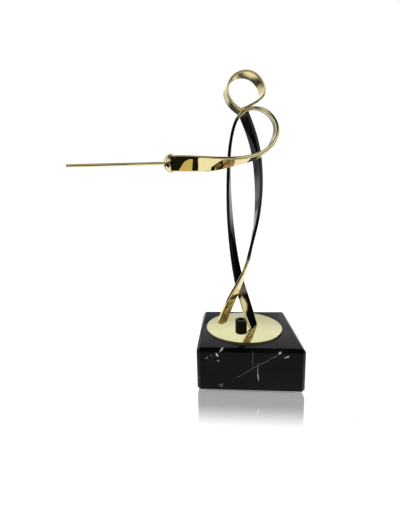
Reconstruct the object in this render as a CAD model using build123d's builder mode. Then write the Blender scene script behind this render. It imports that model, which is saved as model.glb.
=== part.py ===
"""Figure trophy: a fencer bent from flat bar, on a brass disc and a black marble block.

The origin is on the floor, under the middle of the block.  X runs to the right along the block's
front, Y runs to the back and Z is up.  The sword points along -X.  Lengths are in millimetres.
"""
import os
from math import cos, radians, sin

from build123d import *

os.makedirs("parts", exist_ok=True)

# Marble block and the felt under it
BLOCK_SIDE = 80
BLOCK_TOP = 36
BLOCK_CHAMFER = 2.5
FELT_SIDE = 73
FELT_THICKNESS = 1
FELT_CORNER = 4

# Brass disc, and the socket screw that clamps it to the block
DISC_CENTRE = (-2.4, -0.5)
DISC_RADIUS = 32
DISC_THICKNESS = 1.5
DISC_EDGE = 0.3
DISC_TOP = BLOCK_TOP + DISC_THICKNESS
SCREW_CENTRE = (-4.7, -0.7)
SCREW_RADIUS = 3
SCREW_LENGTH = 35
HEAD_RADIUS = 5
HEAD_HEIGHT = 6
HEAD_EDGE = 0.4
SOCKET_ACROSS_FLATS = 5
SOCKET_DEPTH = 3
NUT_ACROSS_FLATS = 10
NUT_HEIGHT = 5
WASHER_RADIUS = 9
WASHER_THICKNESS = 1.6
SCREW_CLEARANCE = 0.3
THREAD_CLEARANCE = 0.03
POCKET_RADIUS = 10.5
POCKET_TOP = 14

# Flat bar
BAR_WIDTH = 12
BAR_THICKNESS = 2.4
RING_THICKNESS = 2
BAR_EDGE = 0.8
SECTION_SPACING = 5

# Sword: the guard's flat back is at HAND, and the blade rises slightly towards its tip
HAND = (-57.5, -10, 173.2)
BLADE_RISE = 1
BLADE_RADIUS = 1.2
BLADE_LENGTH = 85
TIP_CHAMFER = 0.4
GUARD_RADIUS = 7.2
GUARD_DEPTH = 6.4

# Feet: the middle of each bar's end, and the turn of its width away from the X axis in degrees.
# The cuts at the front and rear corners are given by their width along the end and their height.
FOOT_GAP = 0.3
RIGHT_FOOT_CORNERS = [(1.6, 1.6), (1.6, 1.6)]
LEFT_FOOT_CORNERS = [(5, 2.6), (1.6, 1.6)]
LEFT_FOOT = Plane(Location((-21.6, 4.6, DISC_TOP), (0, 0, 49)))
RIGHT_FOOT = Plane(Location((5.4, -2.9, DISC_TOP + FOOT_GAP), (0, 0, 57)))

# Joints brazed with small beads
BEAD = 0.4
BEAD_TAPER = 40
LEFT_FOOT_LENGTH = BAR_WIDTH - LEFT_FOOT_CORNERS[0][0] - LEFT_FOOT_CORNERS[1][0]
LEFT_FOOT_MIDDLE = (LEFT_FOOT_CORNERS[0][0] - LEFT_FOOT_CORNERS[1][0]) / 2
KNEE_JOINT = (-7.6, 0.7, 65)
KNEE_BEAD_RADIUS = 0.9
NECK_JOINT = (-3.2, 3.5, 213)
NECK_BEAD_RADIUS = 1
NECK_BEAD_LENGTH = 5

# Routes of the bars: x, y, z and the twist in degrees of the bar's width away from the Y axis
BODY_ROUTE = [
    (-22.5, 5.5, 35, -40),
    (-14, -3, 59.5, -36),
    (-8.5, -6, 72.5, -28),
    (-2, -8, 88, -14),
    (3, -8.5, 107.5, -7),
    (7, -7.5, 128, 3),
    (9, -3, 159, 17),
    (5.5, 1, 188, 22),
    (-2.2, 4.1, 210.6, 24),
]
ARM_ROUTE = [
    (6.5, -4, 34.5, -28),
    (-0.5, 3, 56, -42),
    (-6, 7.5, 76, -34),
    (-11, 10.5, 106.5, -23),
    (-13.5, 10.5, 136.5, -15),
    (-14, 9, 165, -6),
    (-11.5, 6.5, 194, 1),
    (-3, 4, 211, 10),
    (3, 2.5, 213, 15),
    (14, -1, 209, 13),
    (20, -5.5, 199.5, 6),
    (20, -9.5, 189.5, -6),
    (14, -12.5, 179.5, -2),
    (2.5, -14, 174, 6),
    (-10, -14.5, 172, 16),
    (-25, -14, 171, 42),
    (-40.5, -12, 172, 66),
    (-58.5, -10, 173, 80),
]
HEAD_ROUTE = [
    (-3.8, 3.5, 210.6, 4),
    (-11.5, 3.5, 217, 7),
    (-15.5, 3.5, 228, 14),
    (-12, 3.5, 234.5, 10),
    (-1.5, 3.5, 238, -1),
    (8.5, 3.5, 232.5, -10),
    (11.5, 3.5, 221.5, -12),
    (5.5, 3.5, 217, -14),
    (-2, 3.5, 214, -17),
]


def width_direction(tangent, twist):
    """Direction across the bar: the Y axis made square to the bar, then turned by the twist."""
    back = (Vector(0, 1, 0) - tangent * tangent.Y).normalized()
    return back * cos(radians(twist)) + tangent.cross(back) * sin(radians(twist))


def bar_planes(route):
    """Section planes along a bar, with the bar's width along each plane's x direction."""
    points = [Vector(x, y, z) for x, y, z, twist in route]
    centre = Spline(*points)
    stations = [centre.param_at_point(point) for point in points]
    edge = Spline(*[
        point + width_direction(centre % station, twist) * BAR_WIDTH / 2
        for point, station, (x, y, z, twist) in zip(points, stations, route)
    ])
    count = round(centre.length / SECTION_SPACING)
    planes = []
    for step in range(count + 1):
        spot = centre @ (step / count)
        tangent = centre % (step / count)
        across = edge @ (step / count) - spot
        across = across - tangent * across.dot(tangent)
        planes.append(Plane(origin=spot, x_dir=across, z_dir=tangent))
    return planes


def corner_planes(foot, corners):
    """Planes facing out of a foot's front and rear corners, to cut them off."""
    return [
        Plane(
            origin=foot.origin + foot.x_dir * side * (BAR_WIDTH / 2 - width),
            x_dir=foot.y_dir,
            z_dir=foot.x_dir * side * height - foot.z_dir * width,
        )
        for side, (width, height) in zip((-1, 1), corners)
    ]


BODY_PLANES = bar_planes(BODY_ROUTE)
ARM_PLANES = bar_planes(ARM_ROUTE)
HEAD_PLANES = bar_planes(HEAD_ROUTE)
SWORD_PLANE = Plane(
    origin=HAND,
    x_dir=(0, 1, 0),
    z_dir=(-cos(radians(BLADE_RISE)), 0, sin(radians(BLADE_RISE))),
)

# Base

with BuildPart() as felt_pad:
    with BuildSketch():
        RectangleRounded(FELT_SIDE, FELT_SIDE, FELT_CORNER)
    extrude(amount=FELT_THICKNESS)
felt_pad.part.label = "felt_pad"
export_step(felt_pad.part, "parts/felt_pad.step")

with BuildPart() as marble_base:
    with BuildSketch(Plane.XY.offset(FELT_THICKNESS)):
        Rectangle(BLOCK_SIDE, BLOCK_SIDE)
    extrude(amount=BLOCK_TOP - FELT_THICKNESS)
    chamfer(marble_base.edges(), BLOCK_CHAMFER)
    with Locations(Plane(origin=(*SCREW_CENTRE, FELT_THICKNESS), z_dir=(0, 0, -1))):
        CounterBoreHole(SCREW_RADIUS + SCREW_CLEARANCE, POCKET_RADIUS, POCKET_TOP - FELT_THICKNESS)
marble_base.part.label = "marble_base"
export_step(marble_base.part, "parts/marble_base.step")

with BuildPart() as top_disc:
    with BuildSketch(Plane.XY.offset(BLOCK_TOP)):
        with Locations(DISC_CENTRE):
            Circle(DISC_RADIUS)
        with Locations(SCREW_CENTRE):
            Circle(SCREW_RADIUS + SCREW_CLEARANCE, mode=Mode.SUBTRACT)
    extrude(amount=DISC_THICKNESS)
    rim = top_disc.edges().group_by(Axis.Z)[-1].sort_by(SortBy.LENGTH)[-1]
    chamfer(rim, DISC_EDGE)
top_disc.part.label = "top_disc"
export_step(top_disc.part, "parts/top_disc.step")

# Screw through the disc and the block, with its washer and nut

with BuildPart() as clamp_screw:
    with BuildSketch(Plane.XY.offset(DISC_TOP)):
        with Locations(SCREW_CENTRE):
            Circle(HEAD_RADIUS)
    extrude(amount=HEAD_HEIGHT)
    chamfer(clamp_screw.edges().group_by(Axis.Z)[-1], HEAD_EDGE)
    with BuildSketch(Plane.XY.offset(DISC_TOP + HEAD_HEIGHT)):
        with Locations(SCREW_CENTRE):
            RegularPolygon(SOCKET_ACROSS_FLATS / 2, 6, major_radius=False)
    extrude(amount=-SOCKET_DEPTH, mode=Mode.SUBTRACT)
    with BuildSketch(Plane.XY.offset(DISC_TOP)):
        with Locations(SCREW_CENTRE):
            Circle(SCREW_RADIUS)
    extrude(amount=-SCREW_LENGTH)
clamp_screw.part.label = "clamp_screw"
export_step(clamp_screw.part, "parts/clamp_screw.step")

with BuildPart() as clamp_washer:
    with BuildSketch(Plane.XY.offset(POCKET_TOP)):
        with Locations(SCREW_CENTRE):
            Circle(WASHER_RADIUS)
            Circle(SCREW_RADIUS + SCREW_CLEARANCE, mode=Mode.SUBTRACT)
    extrude(amount=-WASHER_THICKNESS)
clamp_washer.part.label = "clamp_washer"
export_step(clamp_washer.part, "parts/clamp_washer.step")

with BuildPart() as clamp_nut:
    with BuildSketch(Plane.XY.offset(POCKET_TOP - WASHER_THICKNESS)):
        with Locations(SCREW_CENTRE):
            RegularPolygon(NUT_ACROSS_FLATS / 2, 6, major_radius=False)
            Circle(SCREW_RADIUS + THREAD_CLEARANCE, mode=Mode.SUBTRACT)
    extrude(amount=-NUT_HEIGHT)
clamp_nut.part.label = "clamp_nut"
export_step(clamp_nut.part, "parts/clamp_nut.step")

# Figure

with BuildPart() as arm_strip:
    for plane in ARM_PLANES:
        with BuildSketch(plane):
            RectangleRounded(BAR_WIDTH, BAR_THICKNESS, BAR_EDGE)
    loft()
    split(bisect_by=RIGHT_FOOT, keep=Keep.TOP)
    for plane in corner_planes(RIGHT_FOOT, RIGHT_FOOT_CORNERS):
        split(bisect_by=plane, keep=Keep.BOTTOM)
    split(bisect_by=SWORD_PLANE, keep=Keep.BOTTOM)
arm_strip.part.label = "arm_strip"
export_step(arm_strip.part, "parts/arm_strip.step")

with BuildPart() as body_strip:
    for plane in BODY_PLANES:
        with BuildSketch(plane):
            RectangleRounded(BAR_WIDTH, BAR_THICKNESS, BAR_EDGE)
    loft()
    split(bisect_by=LEFT_FOOT, keep=Keep.TOP)
    for plane in corner_planes(LEFT_FOOT, LEFT_FOOT_CORNERS):
        split(bisect_by=plane, keep=Keep.BOTTOM)
    add(arm_strip.part, mode=Mode.SUBTRACT)
body_strip.part.label = "body_strip"
export_step(body_strip.part, "parts/body_strip.step")

with BuildPart() as head_ring:
    for plane in HEAD_PLANES:
        with BuildSketch(plane):
            RectangleRounded(BAR_WIDTH, RING_THICKNESS, BAR_EDGE)
    loft()
    add(arm_strip.part, mode=Mode.SUBTRACT)
    add(body_strip.part, mode=Mode.SUBTRACT)
head_ring.part.label = "head_ring"
export_step(head_ring.part, "parts/head_ring.step")

# Sword

with BuildPart() as sword_guard:
    with BuildSketch(Plane(origin=HAND, x_dir=SWORD_PLANE.x_dir, z_dir=-SWORD_PLANE.y_dir)):
        with BuildLine():
            Line((0, 0), (GUARD_RADIUS, 0))
            EllipticalCenterArc((0, 0), GUARD_RADIUS, GUARD_DEPTH, arc_size=90)
            Line((0, GUARD_DEPTH), (0, 0))
        make_face()
    revolve(axis=Axis(HAND, SWORD_PLANE.z_dir))
    with Locations(SWORD_PLANE):
        Hole(BLADE_RADIUS + THREAD_CLEARANCE)
sword_guard.part.label = "sword_guard"
export_step(sword_guard.part, "parts/sword_guard.step")

with BuildPart() as sword_blade:
    with BuildSketch(SWORD_PLANE):
        Circle(BLADE_RADIUS)
    extrude(amount=BLADE_LENGTH)
    chamfer(sword_blade.edges().sort_by(Axis.X)[0], TIP_CHAMFER)
sword_blade.part.label = "sword_blade"
export_step(sword_blade.part, "parts/sword_blade.step")

# Brazing

with BuildPart() as left_foot_braze:
    with BuildSketch(LEFT_FOOT):
        with Locations((LEFT_FOOT_MIDDLE, 0)):
            RectangleRounded(LEFT_FOOT_LENGTH + 4 * BEAD, BAR_THICKNESS + 4 * BEAD, BEAD)
    extrude(amount=BEAD, taper=BEAD_TAPER)
    add(body_strip.part, mode=Mode.SUBTRACT)
left_foot_braze.part.label = "left_foot_braze"
export_step(left_foot_braze.part, "parts/left_foot_braze.step")

with BuildPart() as right_foot_braze:
    with BuildSketch(RIGHT_FOOT):
        RectangleRounded(BAR_WIDTH / 2, BAR_THICKNESS, BEAD)
    extrude(amount=-FOOT_GAP)
right_foot_braze.part.label = "right_foot_braze"
export_step(right_foot_braze.part, "parts/right_foot_braze.step")

with BuildPart() as knee_braze:
    with Locations(KNEE_JOINT):
        Sphere(KNEE_BEAD_RADIUS)
    add(arm_strip.part, mode=Mode.SUBTRACT)
    add(body_strip.part, mode=Mode.SUBTRACT)
knee_braze.part.label = "knee_braze"
export_step(knee_braze.part, "parts/knee_braze.step")

with BuildPart() as neck_braze:
    with BuildSketch(Plane(origin=NECK_JOINT, z_dir=(0, 1, 0))):
        Circle(NECK_BEAD_RADIUS)
    extrude(amount=NECK_BEAD_LENGTH / 2, both=True)
    add(arm_strip.part, mode=Mode.SUBTRACT)
    add(head_ring.part, mode=Mode.SUBTRACT)
neck_braze.part.label = "neck_braze"
export_step(neck_braze.part, "parts/neck_braze.step")
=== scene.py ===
"""Looks of the figure trophy: mirror-polished flat bar, black marble and a pale studio.

The scene is in metres, in the frame of the CAD model: X runs to the right along the block's front,
Y runs to the back and Z is up. Sizes that are named in millimetres are multiplied by MM.
"""

import math

import bmesh
import bpy
import numpy as np
from mathutils import Matrix, Vector

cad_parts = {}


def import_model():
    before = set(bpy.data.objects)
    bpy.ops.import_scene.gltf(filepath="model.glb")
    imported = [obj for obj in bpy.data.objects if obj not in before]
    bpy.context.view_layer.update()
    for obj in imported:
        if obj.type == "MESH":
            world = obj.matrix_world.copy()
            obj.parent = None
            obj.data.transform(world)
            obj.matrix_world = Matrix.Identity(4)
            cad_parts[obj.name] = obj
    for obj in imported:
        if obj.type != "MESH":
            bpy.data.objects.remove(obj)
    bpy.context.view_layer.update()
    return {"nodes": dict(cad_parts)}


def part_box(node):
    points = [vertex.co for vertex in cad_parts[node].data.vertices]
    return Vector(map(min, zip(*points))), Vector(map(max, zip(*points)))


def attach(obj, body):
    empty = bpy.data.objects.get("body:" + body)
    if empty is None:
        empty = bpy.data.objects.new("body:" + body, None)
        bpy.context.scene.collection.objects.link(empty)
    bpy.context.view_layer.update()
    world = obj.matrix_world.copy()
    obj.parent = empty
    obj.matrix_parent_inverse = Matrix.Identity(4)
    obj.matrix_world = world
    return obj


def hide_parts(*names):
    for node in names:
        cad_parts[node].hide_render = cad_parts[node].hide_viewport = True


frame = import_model()
NODES = frame["nodes"]
MM = 0.001

# Sword, in millimetres: the guard's flat back is at HAND, and the blade rises slightly to its tip
HAND = (-57.5, -10, 173.2)
BLADE_RISE = math.radians(1)
BLADE_AXIS = (-math.cos(BLADE_RISE), 0, math.sin(BLADE_RISE))
BLADE_RADIUS = 1.2
BLADE_LENGTH = 85
ROD_START = 0.02
TIP_ROUNDING = 0.5
GUARD_RADIUS = 7.2
GUARD_DEPTH = 6.4
GUARD_EDGE = 0.3

# Bars, in millimetres
BAR_WIDTH = 12
BAR_THICKNESS = 2.4
RING_THICKNESS = 2
BAR_EDGE = 0.8
STATION_SPACING = 1
DISC_TOP = 37.5
RIGHT_FOOT_GAP = 0.3

# Feet: the middle of the bar's end in millimetres, the turn of its width in degrees, and for the
# front and the rear corner the cut's width along the end and its height
SMALL_CORNER = (1.6, 1.6)
LARGE_CORNER = (5, 2.6)
RIGHT_FOOT = ((5.4, -2.9, DISC_TOP + RIGHT_FOOT_GAP), 57, [SMALL_CORNER, SMALL_CORNER])
LEFT_FOOT = ((-21.6, 4.6, DISC_TOP), 49, [LARGE_CORNER, SMALL_CORNER])

# Heights in millimetres between which the finish changes, and the distance along the arm's bar
# after which it is gilt
ARM_BLACK_STARTS = (62, 74)
ARM_BLACK_ENDS = (206, 211)
ARM_GILT_DISTANCE = 185
BODY_BLACK_STARTS = (90, 101)

# Crown of the faces in millimetres, and the distances along the leg between which it fades out
LEG_CROWN = 0.12
LEG_CROWN_FADES = (40, 60)
RING_CROWN = 0.2

# Block and felt, in millimetres
BLOCK_CHAMFER = 2.5
BLOCK_ROUNDING = 0.12
FELT_CORNER = 4
FELT_ROUNDING = 0.1

# Routes of the bars: x, y, z in millimetres, and the twist in degrees of the bar's width away from
# the Y axis
BODY_ROUTE = [
    (-22.5, 5.5, 35, -40),
    (-14, -3, 59.5, -36),
    (-8.5, -6, 72.5, -28),
    (-2, -8, 88, -14),
    (3, -8.5, 107.5, -7),
    (7, -7.5, 128, 3),
    (9, -3, 159, 17),
    (5.5, 1, 188, 22),
    (-2.2, 4.1, 210.6, 24),
]
ARM_ROUTE = [
    (6.5, -4, 34.5, -28),
    (-0.5, 3, 56, -42),
    (-6, 7.5, 76, -34),
    (-11, 10.5, 106.5, -23),
    (-13.5, 10.5, 136.5, -15),
    (-14, 9, 165, -6),
    (-11.5, 6.5, 194, 1),
    (-3, 4, 211, 10),
    (3, 2.5, 213, 15),
    (14, -1, 209, 13),
    (20, -5.5, 199.5, 6),
    (20, -9.5, 189.5, -6),
    (14, -12.5, 179.5, -2),
    (2.5, -14, 174, 6),
    (-10, -14.5, 172, 16),
    (-25, -14, 171, 42),
    (-40.5, -12, 172, 66),
    (-58.5, -10, 173, 80),
]
HEAD_ROUTE = [
    (-3.8, 3.5, 210.6, 4),
    (-11.5, 3.5, 217, 7),
    (-15.5, 3.5, 228, 14),
    (-12, 3.5, 234.5, 10),
    (-1.5, 3.5, 238, -1),
    (8.5, 3.5, 232.5, -10),
    (11.5, 3.5, 221.5, -12),
    (5.5, 3.5, 217, -14),
    (-2, 3.5, 214, -17),
]


def link(mesh, name):
    """A new object for the mesh, in the scene."""
    made = bpy.data.objects.new(name, mesh)
    bpy.context.scene.collection.objects.link(made)
    return made


def finished(mesh, name):
    """The bmesh as a new object in the scene."""
    data = bpy.data.meshes.new(name)
    mesh.to_mesh(data)
    mesh.free()
    return link(data, name)


# ---------------------------------------------------------------- bars


class Spline:
    """Natural cubic spline through rows of values, by the distance between the first three columns."""

    def __init__(self, rows):
        self.rows = np.array(rows, float)
        steps = np.linalg.norm(np.diff(self.rows[:, :3], axis=0), axis=1)
        self.knots = np.concatenate([[0], np.cumsum(steps)])
        count = len(self.rows)
        system = np.eye(count)
        right = np.zeros_like(self.rows)
        for k in range(1, count - 1):
            system[k, k - 1 : k + 2] = steps[k - 1], 2 * (steps[k - 1] + steps[k]), steps[k]
            right[k] = 6 * (
                (self.rows[k + 1] - self.rows[k]) / steps[k]
                - (self.rows[k] - self.rows[k - 1]) / steps[k - 1]
            )
        self.bend = np.linalg.solve(system, right)

    def at(self, distance):
        """Value and slope at a distance along the knots."""
        k = min(max(np.searchsorted(self.knots, distance) - 1, 0), len(self.knots) - 2)
        gap = self.knots[k + 1] - self.knots[k]
        a = (self.knots[k + 1] - distance) / gap
        b = 1 - a
        low, high = self.rows[k], self.rows[k + 1]
        bend_low, bend_high = self.bend[k], self.bend[k + 1]
        value = a * low + b * high + ((a**3 - a) * bend_low + (b**3 - b) * bend_high) * gap**2 / 6
        slope = (high - low) / gap + ((1 - 3 * a**2) * bend_low + (3 * b**2 - 1) * bend_high) * gap / 6
        return value, slope


def bar_profile(width, thickness, edge):
    """Outline of the bar's section: rounded corners, with a line beside each so that faces stay flat."""
    corner_steps = 5
    face_steps = 8
    guard = 0.12
    points = []
    corners = [(1, 1, 0), (-1, 1, 90), (-1, -1, 180), (1, -1, 270)]
    for sx, sy, start in corners:
        cx, cy = sx * (width / 2 - edge), sy * (thickness / 2 - edge)
        for step in range(corner_steps + 1):
            angle = math.radians(start + 90 * step / corner_steps)
            points.append((cx + edge * math.cos(angle), cy + edge * math.sin(angle)))
        along_face = start in (0, 180)
        if along_face:
            inner = width / 2 - edge - guard
            for step in range(face_steps + 1):
                points.append((sx * (inner - 2 * inner * step / face_steps), sy * thickness / 2))
        else:
            inner = thickness / 2 - edge - guard
            for step in range(3):
                points.append((sx * width / 2, sy * (inner - inner * step)))
    return points


def bar(name, route, thickness, cuts, blackened, crown=lambda distance: 0):
    """A bar along its route, as a mesh with a "blackened" value at each point.

    cuts are planes in millimetres (point, normal), and what lies beyond a normal is cut away.
    crown is how far the middle of each face stands proud, in millimetres, from the buffing.
    """
    spline = Spline(route)
    length = spline.knots[-1]
    stations = int(length / STATION_SPACING)
    profile = bar_profile(BAR_WIDTH, thickness, BAR_EDGE)
    mesh = bmesh.new()
    dark = mesh.verts.layers.float.new("blackened")
    rings = []
    for step in range(stations + 1):
        distance = length * step / stations
        value, slope = spline.at(distance)
        centre = Vector(value[:3])
        tangent = Vector(slope[:3]).normalized()
        back = (Vector((0, 1, 0)) - tangent * tangent.y).normalized()
        twist = math.radians(value[3])
        across = back * math.cos(twist) + tangent.cross(back) * math.sin(twist)
        normal = tangent.cross(across)
        ring = []
        for u, v in profile:
            lower = 1 - crown(distance) * (2 * u / BAR_WIDTH) ** 2 * 2 / thickness
            vert = mesh.verts.new((centre + across * u + normal * v * lower) * MM)
            vert[dark] = blackened(distance, centre.z)
            ring.append(vert)
        rings.append(ring)
    count = len(profile)
    for low, high in zip(rings, rings[1:]):
        for k in range(count):
            mesh.faces.new((low[k], low[(k + 1) % count], high[(k + 1) % count], high[k]))
    caps = [mesh.faces.new(list(reversed(rings[0]))), mesh.faces.new(rings[-1])]
    for point, normal in cuts:
        cut = bmesh.ops.bisect_plane(
            mesh,
            geom=list(mesh.verts) + list(mesh.edges) + list(mesh.faces),
            plane_co=Vector(point) * MM,
            plane_no=Vector(normal),
            clear_outer=True,
        )
        rim = [e for e in cut["geom_cut"] if isinstance(e, bmesh.types.BMEdge)]
        filled = bmesh.ops.edgeloop_fill(mesh, edges=rim)
        caps = [c for c in caps if c.is_valid] + filled["faces"]
    bmesh.ops.recalc_face_normals(mesh, faces=list(mesh.faces))
    for face in mesh.faces:
        face.smooth = True
    for cap in caps:
        cap.smooth = False
        for edge in cap.edges:
            edge.smooth = False
    return finished(mesh, name)


def smooth_step(low, high, value):
    """0 up to low and 1 from high, with a smooth change between."""
    share = min(max((value - low) / (high - low), 0), 1)
    return share * share * (3 - 2 * share)


def arm_black(distance, height):
    """The bar is black from the knees up to the neck, and gilt in the shoulder and the arm."""
    if distance > ARM_GILT_DISTANCE:
        return 0
    return smooth_step(*ARM_BLACK_STARTS, height) * (1 - smooth_step(*ARM_BLACK_ENDS, height))


def body_black(distance, height):
    """The bar is gilt up to a little above the knees, and black from there up."""
    return smooth_step(*BODY_BLACK_STARTS, height)


def foot_cuts(middle, turn, corners):
    """Cuts of a foot: flat underneath, with the lower corners taken off.

    corners holds, for the front and the rear corner, the cut's width along the bar's end and its height.
    """
    middle = Vector(middle)
    across = Vector((math.cos(math.radians(turn)), math.sin(math.radians(turn)), 0))
    cuts = [(middle, (0, 0, -1))]
    for side, (width, height) in zip((-1, 1), corners):
        facing = across * side * height - Vector((0, 0, width))
        cuts.append((middle + across * side * (BAR_WIDTH / 2 - width), facing))
    return cuts


def leg_crown(distance):
    """Crown of the arm's bar, which has one only near its foot."""
    return LEG_CROWN * (1 - smooth_step(*LEG_CROWN_FADES, distance))


def ring_crown(distance):
    """Crown of the head ring, the same all round."""
    return RING_CROWN


def no_black(distance, height):
    """For a bar that is gilt all over."""
    return 0


arm_cuts = [*foot_cuts(*RIGHT_FOOT), (HAND, BLADE_AXIS)]
arm_bar = bar("arm_bar", ARM_ROUTE, BAR_THICKNESS, arm_cuts, arm_black, leg_crown)
body_bar = bar("body_bar", BODY_ROUTE, BAR_THICKNESS, foot_cuts(*LEFT_FOOT), body_black)
head_band = bar("head_band", HEAD_ROUTE, RING_THICKNESS, [], no_black, ring_crown)


# ---------------------------------------------------------------- turned pieces


def turned(name, outline, centre, axis, segments=96):
    """A closed turned piece: outline is (radius, distance along the axis) in millimetres."""
    mesh = bmesh.new()
    across = Vector((0, 1, 0))
    axis = Vector(axis).normalized()
    other = axis.cross(across)
    rings = []
    for radius, height in outline:
        spot = Vector(centre) + axis * height
        if radius == 0:
            rings.append([mesh.verts.new(spot * MM)])
            continue
        ring = []
        for step in range(segments):
            angle = math.tau * step / segments
            ring.append(
                mesh.verts.new((spot + (across * math.cos(angle) + other * math.sin(angle)) * radius) * MM)
            )
        rings.append(ring)
    for low, high in zip(rings, rings[1:]):
        for k in range(segments):
            after = k + 1
            corners = [low[k % len(low)], low[after % len(low)], high[after % len(high)], high[k % len(high)]]
            distinct = list(dict.fromkeys(corners))
            mesh.faces.new(distinct)
    bmesh.ops.recalc_face_normals(mesh, faces=list(mesh.faces))
    for face in mesh.faces:
        face.smooth = True
    made = finished(mesh, name)
    made.data.set_sharp_from_angle(angle=math.radians(30))
    return made


def arc(centre, radii, degrees):
    """Points of an ellipse's arc, as (radius, distance along the axis)."""
    angles = [math.radians(a) for a in degrees]
    return [(centre[0] + radii[0] * math.cos(a), centre[1] + radii[1] * math.sin(a)) for a in angles]


dome_depth = GUARD_DEPTH - GUARD_EDGE
dome = [(0, 0), (GUARD_RADIUS - GUARD_EDGE, 0)]
dome += arc((GUARD_RADIUS - GUARD_EDGE, GUARD_EDGE), (GUARD_EDGE, GUARD_EDGE), (-60, -30, 0))
curve = arc((0, GUARD_EDGE), (GUARD_RADIUS, dome_depth), range(4, 81, 4))
dome += [(max(radius, BLADE_RADIUS), height) for radius, height in curve]
dome += [(0, curve[-1][1])]
sword_dome = turned("sword_dome", dome, HAND, BLADE_AXIS)
rod_edge = BLADE_RADIUS - TIP_ROUNDING
rod_shoulder = BLADE_LENGTH - TIP_ROUNDING
rod = [(0, ROD_START), (BLADE_RADIUS, ROD_START), (BLADE_RADIUS, rod_shoulder)]
rod += arc((rod_edge, rod_shoulder), (TIP_ROUNDING, TIP_ROUNDING), range(15, 91, 15))
rod += [(0, BLADE_LENGTH)]
sword_rod = turned("sword_rod", rod, HAND, BLADE_AXIS, 48)


# ---------------------------------------------------------------- block and felt


def block(name, low, high, chamfer, rounding):
    """A box with chamfers along its edges, and each chamfer's own edges rounded a little."""
    mesh = bmesh.new()
    bmesh.ops.create_cube(mesh, size=1)
    low, high = Vector(low), Vector(high)
    for vert in mesh.verts:
        vert.co = Vector(
            tuple((low[k] + high[k]) / 2 + vert.co[k] * (high[k] - low[k]) for k in range(3))
        )
    for offset, segments in ((chamfer, 1), (rounding, 3)):
        bmesh.ops.bevel(
            mesh,
            geom=list(mesh.edges),
            offset=offset,
            offset_type="OFFSET",
            segments=segments,
            profile=0.5,
            affect="EDGES",
        )
    for face in mesh.faces:
        face.smooth = True
    return finished(mesh, name)


def cut_felt(name, low, high, corner, rounding):
    """A flat pad with round corners, its edge softened a little."""
    steps = 8
    mesh = bmesh.new()
    corners = [(high[0], high[1]), (low[0], high[1]), (low[0], low[1]), (high[0], low[1])]
    rings = []
    for inset, height in (
        (rounding, low[2]),
        (0, low[2] + rounding),
        (0, high[2] - rounding),
        (rounding, high[2]),
    ):
        ring = []
        for turn, (x, y) in enumerate(corners):
            centre_x = x - math.copysign(corner, x)
            centre_y = y - math.copysign(corner, y)
            for step in range(steps + 1):
                angle = math.radians(90 * (turn + step / steps))
                ring.append(
                    mesh.verts.new(
                        (
                            centre_x + (corner - inset) * math.cos(angle),
                            centre_y + (corner - inset) * math.sin(angle),
                            height,
                        )
                    )
                )
        rings.append(ring)
    for ring, following in zip(rings, rings[1:]):
        for k in range(len(ring)):
            after = (k + 1) % len(ring)
            mesh.faces.new((ring[k], ring[after], following[after], following[k]))
    mesh.faces.new(rings[0][::-1])
    mesh.faces.new(rings[-1])
    return finished(mesh, name)


block_low, block_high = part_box("marble_base")
marble_block = block("marble_block", block_low, block_high, BLOCK_CHAMFER * MM, BLOCK_ROUNDING * MM)
felt_low, felt_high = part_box("felt_pad")
felt_sheet = cut_felt("felt_sheet", felt_low, felt_high, FELT_CORNER * MM, FELT_ROUNDING * MM)


# ---------------------------------------------------------------- materials


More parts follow.
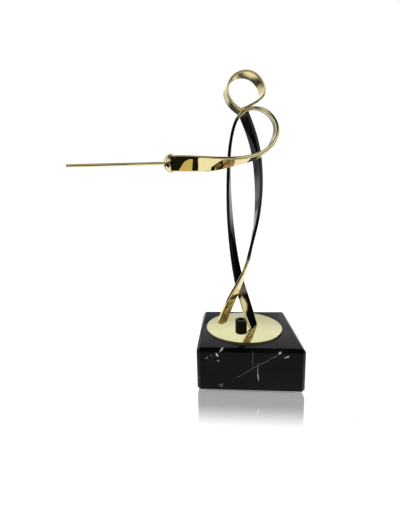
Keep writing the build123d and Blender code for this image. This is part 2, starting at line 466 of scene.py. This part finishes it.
class Nodes:
    """Short calls for the node tree of a material or a world."""

    def __init__(self, owner):
        owner.use_nodes = True
        self.owner = owner
        self.tree = owner.node_tree
        self.shader = self.tree.nodes.get("Principled BSDF")

    def add(self, kind, inputs=None, **settings):
        node = self.tree.nodes.new(kind)
        for key, value in settings.items():
            setattr(node, key, value)
        for key, value in (inputs or {}).items():
            self.put(node.inputs[key], value)
        return node

    def put(self, socket, value):
        if isinstance(value, bpy.types.NodeSocket):
            self.tree.links.new(value, socket)
        else:
            socket.default_value = value

    def set(self, **values):
        for key, value in values.items():
            self.put(self.shader.inputs[key.replace("_", " ")], value)

    def math(self, operation, a, b=0.0, c=0.0):
        return self.add("ShaderNodeMath", {0: a, 1: b, 2: c}, operation=operation).outputs[0]

    def vector(self, operation, a, b=(0, 0, 0)):
        made = self.add("ShaderNodeVectorMath", {0: a, 1: b}, operation=operation)
        return made.outputs["Value"] if operation in ("LENGTH", "DOT_PRODUCT") else made.outputs[0]

    def scaled(self, vector, factor):
        made = self.vector("SCALE", vector)
        made.node.inputs["Scale"].default_value = factor
        return made

    def place(self):
        return self.add("ShaderNodeTexCoord").outputs["Object"]

    def noise(self, vector, scale, detail=3.0, roughness=0.5):
        made = self.add(
            "ShaderNodeTexNoise",
            {"Vector": vector, "Scale": scale, "Detail": detail, "Roughness": roughness},
        )
        return made.outputs["Fac"]

    def drift(self, vector, scale, detail, roughness, reach):
        """A vector that wanders either way by up to half the reach."""
        made = self.add(
            "ShaderNodeTexNoise",
            {"Vector": vector, "Scale": scale, "Detail": detail, "Roughness": roughness},
        )
        return self.scaled(self.vector("SUBTRACT", made.outputs["Color"], (0.5, 0.5, 0.5)), reach)

    def spread(self, value, low, high, to_low=0.0, to_high=1.0, soft=False):
        made = self.add(
            "ShaderNodeMapRange",
            {"Value": value, "From Min": low, "From Max": high, "To Min": to_low, "To Max": to_high},
            interpolation_type="SMOOTHSTEP" if soft else "LINEAR",
        )
        return made.outputs["Result"]

    def blend(self, factor, a, b):
        made = self.add("ShaderNodeMix", data_type="RGBA")
        colours = [s for s in made.inputs if s.type == "RGBA"]
        self.put(made.inputs[0], factor)
        self.put(colours[0], a)
        self.put(colours[1], b)
        return [s for s in made.outputs if s.type == "RGBA"][0]

    def bump(self, height, strength, distance):
        made = self.add("ShaderNodeBump", {"Height": height, "Strength": strength, "Distance": distance})
        self.put(self.shader.inputs["Normal"], made.outputs["Normal"])


GOLD = (0.90, 0.79, 0.42, 1)
PALE_GOLD = (0.71, 0.67, 0.37, 1)
BLACK = (0.0025, 0.0025, 0.0027, 1)

# Painted dark reflections on the bars beside the knee: centre and half sizes in millimetres
KNEE_DARK_REFLECTIONS = [((-11.5, -3.6, 65.0), (7, 7.5, 2.8)), ((-5.8, 0.9, 63.6), (1.9, 2.6, 2.8))]


def polished_bar(name, low=0.03, high=0.065):
    """Mirror-polished gilt bar with a glossy black stretch, a painted dark reflection beside the knee, faint
    polishing marks and hand-bent waves.
    """
    n = Nodes(bpy.data.materials.new(name))
    place = n.place()
    mask = n.add("ShaderNodeAttribute", attribute_name="blackened").outputs["Fac"]
    fringe = n.spread(n.noise(place, 260, 4), 0.3, 0.7, -0.12, 0.12)
    edge = n.math("MULTIPLY", mask, n.math("SUBTRACT", 1.0, mask))
    mask = n.math("ADD", mask, n.math("MULTIPLY", n.math("MULTIPLY", edge, 4.0), fringe))
    tone = n.spread(n.noise(place, 90, 3), 0.35, 0.65)
    gold = n.blend(tone, GOLD, (GOLD[0] * 0.97, GOLD[1] * 0.95, GOLD[2] * 0.9, 1))
    # A painted dark reflection on each bar beside the knee: the gold is darkened to near black there
    painted_reflection = None
    for centre, size in KNEE_DARK_REFLECTIONS:
        away = n.vector("SUBTRACT", place, [c * MM for c in centre])
        away = n.vector("DIVIDE", away, [c * MM for c in size])
        near = n.spread(n.vector("LENGTH", away), 0.55, 1.1, 1, 0, True)
        painted_reflection = near if painted_reflection is None else n.math("MAXIMUM", painted_reflection, near)
    gold = n.blend(n.math("MULTIPLY", painted_reflection, 0.97), gold, (0.03, 0.014, 0.006, 1))
    n.set(
        Base_Color=n.blend(mask, gold, BLACK),
        Metallic=n.math("SUBTRACT", 1.0, mask),
        Roughness=n.spread(n.noise(place, 420, 5, 0.6), 0.35, 0.7, low, high),
    )
    n.bump(n.noise(place, 55, 2), 0.06, 0.0010)
    return n.owner


def plain_metal(name, colour, low, high, scale=500, bump=0.05):
    """Metal of one colour, with its roughness varying between low and high."""
    n = Nodes(bpy.data.materials.new(name))
    place = n.place()
    tone = n.spread(n.noise(place, scale / 4, 3), 0.35, 0.65)
    n.set(
        Base_Color=n.blend(tone, colour, tuple(c * 0.95 for c in colour[:3]) + (1,)),
        Metallic=1.0,
        Roughness=n.spread(n.noise(place, scale, 5, 0.6), 0.35, 0.7, low, high),
    )
    n.bump(n.noise(place, scale, 3), bump, 0.0002)
    return n.owner


# Bright flecks of calcite in the marble: centre and half sizes in millimetres, tilt in the XZ plane
# in degrees, brightness
FLECKS = [
    ((-20.6, -40, 35.8), (2.9, 3.0, 0.75), 48, 0.75),
    ((-24.6, -40, 31.4), (1.6, 2.0, 0.65), -58, 0.85),
    ((-23.9, -40, 26.6), (0.9, 1.5, 0.6), 20, 0.35),
    ((-29.0, -40, 31.0), (0.9, 1.5, 0.6), 40, 0.14),
    ((-32.2, -40, 28.8), (1.3, 2.0, 0.7), 50, 0.16),
    ((16.6, -39, 36.6), (1.6, 1.5, 0.6), -40, 0.55),
    ((20.9, -40, 33.6), (1.2, 1.5, 0.75), 40, 0.65),
    ((25.9, -40, 30.5), (2.0, 1.5, 0.55), 22, 0.6),
    ((5.2, -40, 19.5), (0.25, 1.0, 4.5), 2, 0.35),
    ((5.4, -40, 14.6), (0.36, 1.0, 3.6), 7, 0.8),
    ((-22.0, -40, 7.4), (2.2, 1.5, 0.5), 12, 0.22),
    ((-21.5, -40, 6.2), (1.6, 1.5, 0.5), -30, 0.18),
    ((-38.6, -39, 12.0), (0.8, 1.5, 0.5), 20, 0.2),
]

# Hair veins, in millimetres: a point in the vein's plane, the plane's normal, half width, the middle
# and the half length of the stretch that shows, and brightness
VEINS = [
    ((5, -40, 23), (-0.52, 0.10, 0.854), 0.22, (5, -40, 23), 24, 0.20),
    ((1.65, -40, 28), (0.999, 0.06, -0.02), 0.20, (1.65, -40, 27), 9.5, 0.13),
    ((-25, -40, 31), (-0.70, 0.25, 0.66), 0.25, (-25, -40, 31), 13, 0.05),
    ((34, 0, 18), (0.45, 0.30, 0.84), 0.25, (40, -6, 15), 26, 0.16),
    ((40, 14, 20), (0.10, 0.93, -0.36), 0.22, (40, 14, 20), 15, 0.22),
    ((-40, 4, 20), (-0.2, 0.62, 0.76), 0.25, (-40, 4, 20), 24, 0.18),
    ((-40, -16, 16), (0.1, 0.97, 0.22), 0.20, (-40, -16, 16), 13, 0.22),
    ((6, 40, 20), (0.60, -0.1, 0.79), 0.25, (6, 40, 20), 27, 0.18),
    ((-18, 40, 22), (0.93, 0.1, -0.34), 0.20, (-18, 40, 22), 15, 0.2),
    ((30, 26, 36), (0.66, 0.75, 0.1), 0.22, (32, 28, 36), 15, 0.05),
    ((-33, -24, 36), (-0.55, 0.83, 0.05), 0.22, (-33, -24, 36), 14, 0.05),
]


def marble():
    """Polished black marble: near-black ground, hair veins on planes through the block, and flecks."""
    n = Nodes(bpy.data.materials.new("black_marble"))
    place = n.scaled(n.place(), 1000)
    bent = n.vector("ADD", place, n.drift(place, 0.09, 4.0, 0.55, 4.0))
    rough_place = n.vector("ADD", place, n.drift(place, 0.9, 3.0, 0.6, 1.3))
    broken = n.spread(n.noise(place, 0.22, 4, 0.65), 0.38, 0.62, 0.25, 1.0)
    light = None
    for point, normal, width, middle, reach, strength in VEINS:
        unit = tuple(Vector(normal).normalized())
        off = n.math("ABSOLUTE", n.vector("DOT_PRODUCT", n.vector("SUBTRACT", bent, point), unit))
        line = n.spread(off, width * 0.3, width * 1.6, 1.0, 0.0, True)
        away = n.vector("LENGTH", n.vector("SUBTRACT", place, middle))
        line = n.math("MULTIPLY", line, n.spread(away, reach * 0.55, reach, strength, 0.0, True))
        light = line if light is None else n.math("MAXIMUM", light, line)
    light = n.math("MULTIPLY", light, broken)
    for centre, size, tilt, strength in FLECKS:
        moved = n.vector("SUBTRACT", rough_place, centre)
        turned_place = n.add(
            "ShaderNodeVectorRotate",
            {"Vector": moved, "Angle": math.radians(tilt)},
            rotation_type="Y_AXIS",
        ).outputs[0]
        scaled = n.vector("DIVIDE", turned_place, size)
        near = n.spread(n.vector("LENGTH", scaled), 0.45, 1.25, strength, 0.0, True)
        light = n.math("MAXIMUM", light, near)
    cloud = n.spread(n.noise(place, 0.06, 5, 0.6), 0.35, 0.75)
    ground = n.blend(cloud, (0.0013, 0.0014, 0.0015, 1), (0.0045, 0.0048, 0.0052, 1))
    n.set(
        Base_Color=n.blend(light, ground, (0.80, 0.80, 0.78, 1)),
        Roughness=n.spread(light, 0, 1, 0.05, 0.16),
    )
    n.shader.inputs["Specular IOR Level"].default_value = 0.09
    return n.owner


def felt():
    """Black felt with a fine fibre."""
    n = Nodes(bpy.data.materials.new("base_felt"))
    place = n.place()
    fibre = n.noise(place, 2600, 6, 0.7)
    clump = n.noise(place, 380, 3)
    n.set(
        Base_Color=n.blend(n.spread(clump, 0.35, 0.65), (0.006, 0.006, 0.007, 1), (0.017, 0.017, 0.019, 1)),
        Roughness=0.95,
    )
    n.shader.inputs["Sheen Weight"].default_value = 0.5
    n.bump(fibre, 0.6, 0.0004)
    return n.owner


gilt = polished_bar("gilt_bar_polish")
ring_gilt = polished_bar("gilt_ring_polish", 0.17, 0.21)
disc_gold = plain_metal("disc_polish", PALE_GOLD, 0.02, 0.05, 500, 0.01)
sword_gold = plain_metal("sword_polish", GOLD, 0.03, 0.07)
braze = plain_metal("braze_gold", (0.72, 0.55, 0.26, 1), 0.12, 0.25, 900, 0.2)
oxide = plain_metal("black_oxide", (0.022, 0.016, 0.015, 1), 0.3, 0.45, 900, 0.1)
zinc = plain_metal("zinc_plate", (0.55, 0.56, 0.58, 1), 0.25, 0.4, 900, 0.1)
marble_material = marble()
felt_material = felt()

for piece, made in [
    (arm_bar, gilt),
    (body_bar, gilt),
    (head_band, ring_gilt),
    (sword_dome, sword_gold),
    (sword_rod, sword_gold),
    (marble_block, marble_material),
    (felt_sheet, felt_material),
]:
    piece.data.materials.append(made)
for node, made in [
    ("top_disc", disc_gold),
    ("clamp_screw", oxide),
    ("clamp_washer", zinc),
    ("clamp_nut", zinc),
    ("left_foot_braze", braze),
    ("right_foot_braze", braze),
    ("knee_braze", braze),
    ("neck_braze", braze),
]:
    NODES[node].material_slots[0].material = made

for piece, node, slot in [
    (arm_bar, "arm_strip", "gilt_bar"),
    (body_bar, "body_strip", "gilt_bar"),
    (head_band, "head_ring", "gilt_ring"),
    (sword_dome, "sword_guard", "polished_gold"),
    (sword_rod, "sword_blade", "polished_gold"),
    (marble_block, "marble_base", "black_marble"),
    (felt_sheet, "felt_pad", "base_felt"),
]:
    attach(piece, "root")
    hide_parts(node)


# ---------------------------------------------------------------- studio

WHITE = (1, 1, 1, 1)
CAMERA_PLACE = (-0.017807, -0.235315, 0.137302)
CAMERA_TURN = (9.605, -5.104, -1.555)
CAMERA_LENS = 19.85


def flat_sheet(name, corners, height, colour=None, second=None):
    """A flat sheet of the studio. With a colour it is a card that shows only in reflections."""
    mesh = bpy.data.meshes.new(name)
    mesh.from_pydata([(x, y, height) for x, y in corners], [], [range(len(corners))])
    made = link(mesh, name)
    if colour:
        n = Nodes(bpy.data.materials.new(name))
        if second:
            colour = n.blend(n.spread(n.noise(n.place(), 24, 2), 0.35, 0.65, soft=True), colour, second)
        n.set(Base_Color=(0, 0, 0, 1), Roughness=1.0, Emission_Color=colour, Emission_Strength=1.0)
        n.shader.inputs["Specular IOR Level"].default_value = 0
        mesh.materials.append(n.owner)
        made.visible_camera = made.visible_diffuse = made.visible_shadow = False
    return made


def floor():
    """White floor. Round the block it is polished, and the polish fades out."""
    n = Nodes(bpy.data.materials.new("floor_pale"))
    n.set(Base_Color=(0.15, 0.15, 0.15, 1), Roughness=1.0, Emission_Color=WHITE, Emission_Strength=1.0)
    n.shader.inputs["Specular IOR Level"].default_value = 0
    parts = n.add("ShaderNodeSeparateXYZ", {0: n.place()})
    reach = n.math(
        "MAXIMUM", n.math("ABSOLUTE", parts.outputs["X"]), n.math("ABSOLUTE", parts.outputs["Y"])
    )
    share = n.spread(reach, 0.050, 0.081, 0.66, 0.0, True)
    gloss = n.add("ShaderNodeBsdfGlossy", {"Color": WHITE, "Roughness": 0.06})
    mix = n.add("ShaderNodeMixShader", {0: share, 1: n.shader.outputs[0], 2: gloss.outputs[0]})
    n.put(n.tree.nodes["Material Output"].inputs[0], mix.outputs[0])
    made = flat_sheet("floor", [(-3, -3), (3, -3), (3, 3), (-3, 3)], 0)
    made.visible_glossy = False
    made.data.materials.append(n.owner)


def cards():
    """What the polished metal reflects below the horizon.

    A white sheet lies under the object, the room round it is darker, and two patches are gold and brown.
    """
    flat_sheet("card_room", [(-3, -3), (3, -3), (3, 3), (-3, 3)], -0.004, (0.010, 0.009, 0.009, 1))
    flat_sheet("card_behind", [(-3, 0.45), (3, 0.45), (3, 1.05), (-3, 1.05)], -0.003, (0.035, 0.035, 0.05, 1))
    flat_sheet(
        "card_far",
        [(-0.3, 1.05), (0.75, 1.05), (2.1, 3), (-0.3, 3)],
        -0.003,
        (0.52, 0.46, 0.38, 1),
        (0.36, 0.30, 0.24, 1),
    )
    flat_sheet(
        "card_white",
        [
            (0.6, -0.160),
            (-0.190, -0.160),
            (-0.168, -0.09),
            (-0.21, -0.06),
            (-0.7, -0.03),
            (-0.7, 0.45),
            (0.6, 0.45),
        ],
        -0.002,
        (0.98, 0.97, 0.95, 1),
    )
    flat_sheet(
        "card_warm",
        [
            (-0.02, -0.235),
            (-0.205, -0.235),
            (-0.222, -0.30),
            (-0.224, -0.37),
            (-0.207, -0.43),
            (-0.19, -0.48),
            (-0.16, -0.52),
            (-0.02, -0.52),
        ],
        -0.002,
        (0.63, 0.52, 0.25, 1),
    )
    front_outline = [(-3, -3), (-0.2, -3), (-0.2, -0.75), (-3, -0.75)]
    flat_sheet("card_front", front_outline, -0.003, (0.30, 0.27, 0.23, 1))
    flat_sheet(
        "card_brown",
        [(-0.05, 0.05), (0.055, 0.05), (0.055, 0.19), (-0.05, 0.19)],
        -0.001,
        (0.45, 0.33, 0.18, 1),
        (0.16, 0.11, 0.06, 1),
    )


def world():
    """White for the camera. What the metal reflects is bright behind the object and dark at its sides.

    Azimuths are in degrees from the back, growing to the right, and z is the sine of the height angle.
    """
    made = bpy.data.worlds.new("studio")
    bpy.context.scene.world = made
    n = Nodes(made)
    n.tree.nodes.clear()
    direction = n.add("ShaderNodeTexCoord").outputs["Generated"]
    parts = n.add("ShaderNodeSeparateXYZ", {0: direction})
    x, y, z = (parts.outputs[k] for k in "XYZ")
    azimuth = n.math("MULTIPLY", n.math("ARCTAN2", x, y), math.degrees(1))

    def band(low, low_full, high_full, high):
        """1 between the full azimuths, falling to 0 at the outer ones."""
        return n.math(
            "MULTIPLY",
            n.spread(azimuth, low, low_full, 0, 1, True),
            n.spread(azimuth, high_full, high, 1, 0, True),
        )

    def join(kind, *values):
        joined = values[0]
        for value in values[1:]:
            joined = n.math(kind, joined, value)
        return joined

    def times(*values):
        return join("MULTIPLY", *values)

    top = n.spread(z, 0.74, 0.92, 1.0, 0.2, True)
    back = times(band(-48, -34, 33, 47), n.spread(z, 0.33, 0.41, 0.42, 1.08, True))
    right_high = times(n.spread(azimuth, 23, 29, 0, 1, True), n.spread(z, 0.50, 0.60, 0, 1, True))
    back = times(back, n.spread(right_high, 0, 1, 1, 0))
    low_back = times(band(-30, -23, 8, 16), n.spread(z, 0.30, 0.36, 1, 0, True))
    horizon = times(band(-24, -17, 31, 42), n.spread(z, 0.06, 0.13, 0.88, 0, True))
    back = times(back, n.spread(low_back, 0, 1, 1, 0.8))
    pillar = times(band(-46, -38, -30, -23), n.spread(z, -0.1, 0.0, 0.4, 0.76, True))
    left = times(band(-92, -82, -52, -38), n.spread(z, -0.05, 0.40, 0.35, 0.7, True))
    window = times(band(85.5, 88.5, 112, 128), n.spread(z, 0.35, 0.6, 0.6, 0.25, True))
    room = n.spread(z, 0.04, 0.22, 0.04, 0.78, True)
    room = times(room, n.spread(z, 0.45, 0.85, 1, 0.3, True))
    room = times(room, n.spread(low_back, 0, 1, 1, 0))
    front = n.spread(n.math("ABSOLUTE", azimuth), 132, 150, 0, 1, True)
    front_low = n.spread(z, 0.20, 0.34, 1, 0, True)
    front_high = n.spread(z, 0.55, 0.70, 0, 1, True)
    front = times(front, join("MAXIMUM", front_low, front_high))
    room = times(room, n.spread(front, 0, 1, 1, 0.2))
    dark_side = times(band(38, 46, 85.5, 88.5), n.spread(z, 0.36, 0.50, 1, 0, True))
    room = times(room, n.spread(dark_side, 0, 1, 1, 0.005))
    level = times(join("MAXIMUM", back, pillar, left, window, room, horizon), top)
    warm = times(n.spread(azimuth, 24, 32, 0, 1, True), n.spread(azimuth, 75, 90, 1, 0, True))
    warm = times(warm, n.spread(z, 0.45, 0.6, 0, 1, True))
    mottle = n.spread(n.noise(direction, 34, 3), 0.40, 0.60, 0.4, 1.15, True)
    level = times(level, n.math("ADD", n.math("MULTIPLY", warm, mottle), n.math("SUBTRACT", 1.0, warm)))
    cool = times(band(-27, -17, 0, 8), n.spread(z, 0.30, 0.39, 1, 0, True))
    cool = times(cool, n.spread(z, 0.06, 0.12, 0, 1, True))
    tint = n.blend(warm, n.blend(cool, WHITE, (0.80, 0.88, 1.1, 1)), (1, 0.85, 0.72, 1))
    glow = n.add("ShaderNodeBackground", {"Color": tint, "Strength": level})
    plain = n.add("ShaderNodeBackground", {"Color": WHITE, "Strength": 1.0})
    seen = n.add("ShaderNodeLightPath").outputs["Is Camera Ray"]
    mix = n.add("ShaderNodeMixShader", {0: seen, 1: glow.outputs[0], 2: plain.outputs[0]})
    n.add("ShaderNodeOutputWorld", {0: mix.outputs[0]})


def softbox():
    """Large overhead light for the matt surfaces."""
    lamp = bpy.data.lights.new("softbox", "AREA")
    lamp.shape = "SQUARE"
    lamp.size = 1.2
    lamp.energy = 12
    made = bpy.data.objects.new("softbox", lamp)
    made.location = (-0.2, 0.1, 1.1)
    made.visible_glossy = False
    made.visible_camera = False
    bpy.context.scene.collection.objects.link(made)


def camera():
    """The camera: CAMERA_TURN is its turn down, to the right and about its own axis, in degrees."""
    pitch, yaw, roll = (math.radians(a) for a in CAMERA_TURN)
    forward = Vector((math.sin(yaw) * math.cos(pitch), math.cos(yaw) * math.cos(pitch), -math.sin(pitch)))
    level = Vector((math.cos(yaw), -math.sin(yaw), 0))
    rise = level.cross(forward)
    right = level * math.cos(roll) + rise * math.sin(roll)
    up = rise * math.cos(roll) - level * math.sin(roll)
    lens = bpy.data.cameras.new("camera")
    lens.sensor_width = 36
    lens.lens = CAMERA_LENS
    lens.clip_start = 0.01
    lens.clip_end = 50
    made = bpy.data.objects.new("camera", lens)
    bpy.context.scene.collection.objects.link(made)
    turn = Matrix((right, up, -forward)).transposed().to_4x4()
    made.matrix_world = Matrix.Translation(Vector(CAMERA_PLACE)) @ turn
    bpy.context.scene.camera = made


# The disc in the photograph shows no mirror image of the left leg. A real disc would, so this
# departs from how the object looks in life, to match the photograph
body_bar.visible_glossy = False
floor()
cards()
world()
softbox()
camera()
bpy.context.scene.view_settings.view_transform = "Standard"
